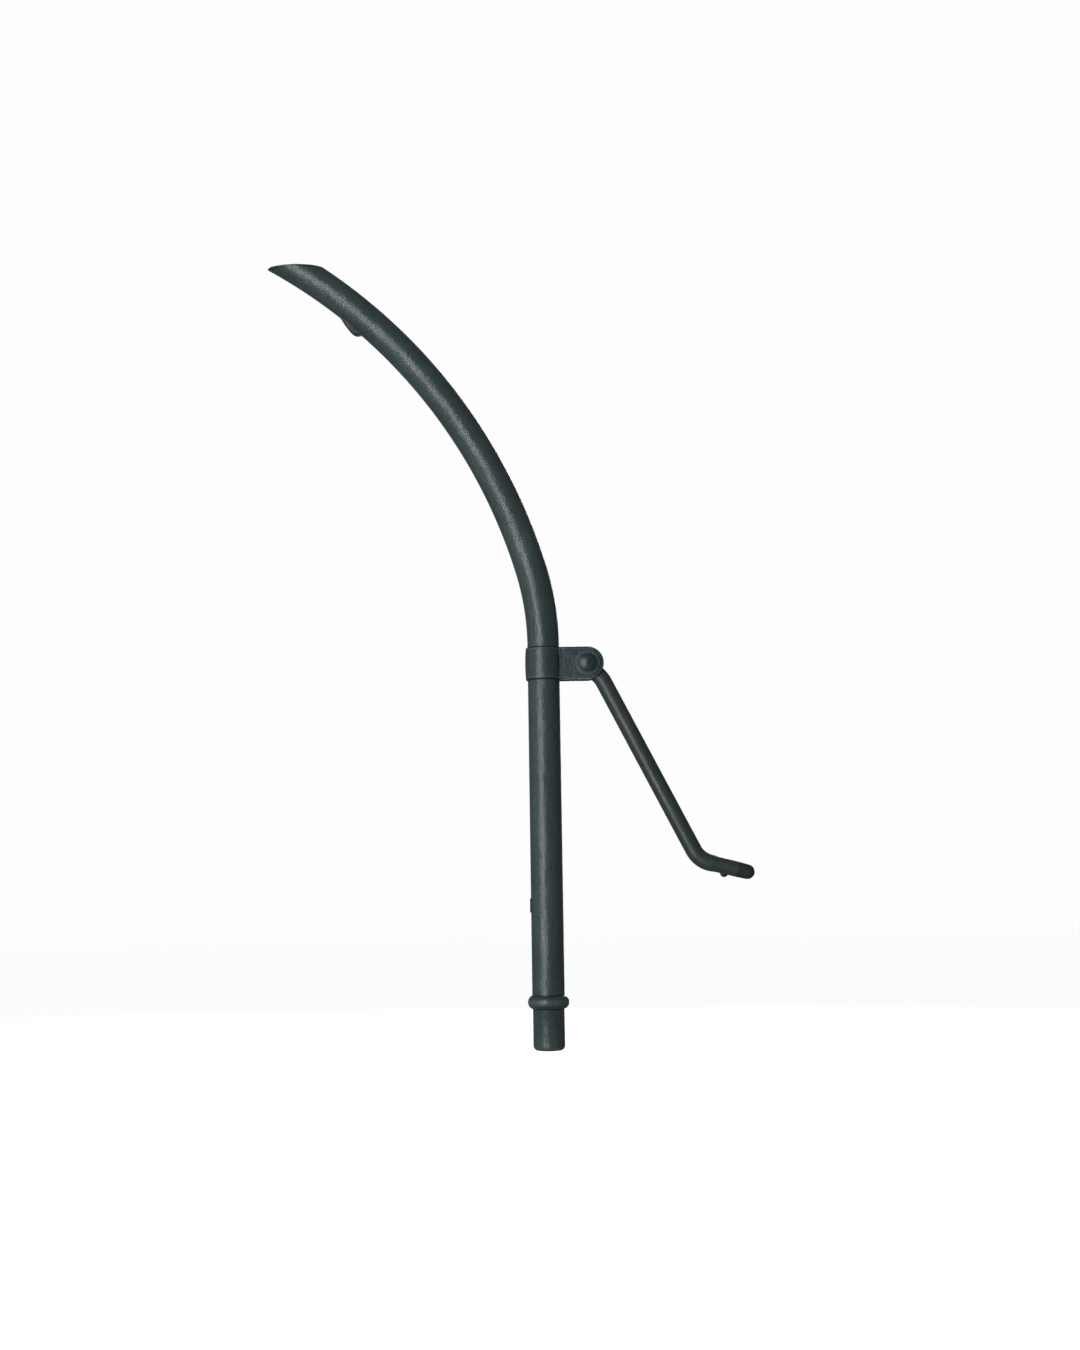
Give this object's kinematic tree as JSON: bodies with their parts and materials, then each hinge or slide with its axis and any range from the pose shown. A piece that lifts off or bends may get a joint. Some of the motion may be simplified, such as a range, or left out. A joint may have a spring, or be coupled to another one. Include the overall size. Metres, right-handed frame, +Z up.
{
  "type": "hand scythe",
  "caption": "Curved tubular scythe shaft with a slant-cut blade seat, a beaded end spigot and a clamp collar that carries a swinging bent side grip.",
  "frame": {"origin": "middle of the spigot's flat bottom face", "axes": "+Z up the straight part of the shaft, -X the way the shaft curves over, +X the way the collar's ears and the side grip reach, +Y away from the domed bolt head"},
  "size_m": [0.4831, 0.0443, 0.7934],
  "materials": {
    "shaft_paint": "satin grey-green hammered enamel",
    "seat_paint": "satin dark enamel, rubbed",
    "collar_paint": "satin blue-grey enamel",
    "bolt_finish": "satin dark enamel",
    "washer_steel": "satin grey enamel, worn at the rim",
    "nut_steel": "dulled zinc",
    "nut_ring_plastic": "matt nylon",
    "liner_plastic": "matt black plastic",
    "friction_plastic": "matt fibre",
    "bush_bronze": "sintered bronze",
    "arm_paint": "satin grey-green enamel",
    "cap_rubber": "matt dark rubber"
  },
  "bodies": {
    "shaft": {"shaft_tube": "shaft_paint", "blade_seat_plate": "seat_paint", "ring_stop_lug": "shaft_paint", "stop_rivet": "shaft_paint", "bead_ring": "shaft_paint", "end_spigot": "shaft_paint", "spigot_pin": "shaft_paint"},
    "liner": {"band_liner": "liner_plastic"},
    "collar": {"clamp_band": "collar_paint", "pivot_bolt": "bolt_finish", "front_washer": "washer_steel", "back_washer": "washer_steel", "spring_washer": "nut_steel", "lock_nut": "nut_steel", "lock_nut_ring": "nut_ring_plastic"},
    "side_grip": {"swing_arm": "arm_paint", "arm_bush": "bush_bronze", "friction_washers": "friction_plastic", "grip_cap": "cap_rubber", "finger_stud": "cap_rubber"}
  },
  "joints": [
    {"name": "collar_slide", "type": "slide", "parent": "shaft", "child": "liner", "axis": [0, 0, 1], "range_m": [-0.214, 0]},
    {"name": "collar_turn", "type": "hinge", "parent": "liner", "child": "collar", "pos_m": [0, 0, 0.3784], "axis": [0, 0, 1], "range_deg": [-90, 90]},
    {"name": "arm_swing", "type": "hinge", "parent": "collar", "child": "side_grip", "pos_m": [0.0438, 0, 0.3784], "axis": [0, -1, 0], "range_deg": [-28, 140]}
  ]
}
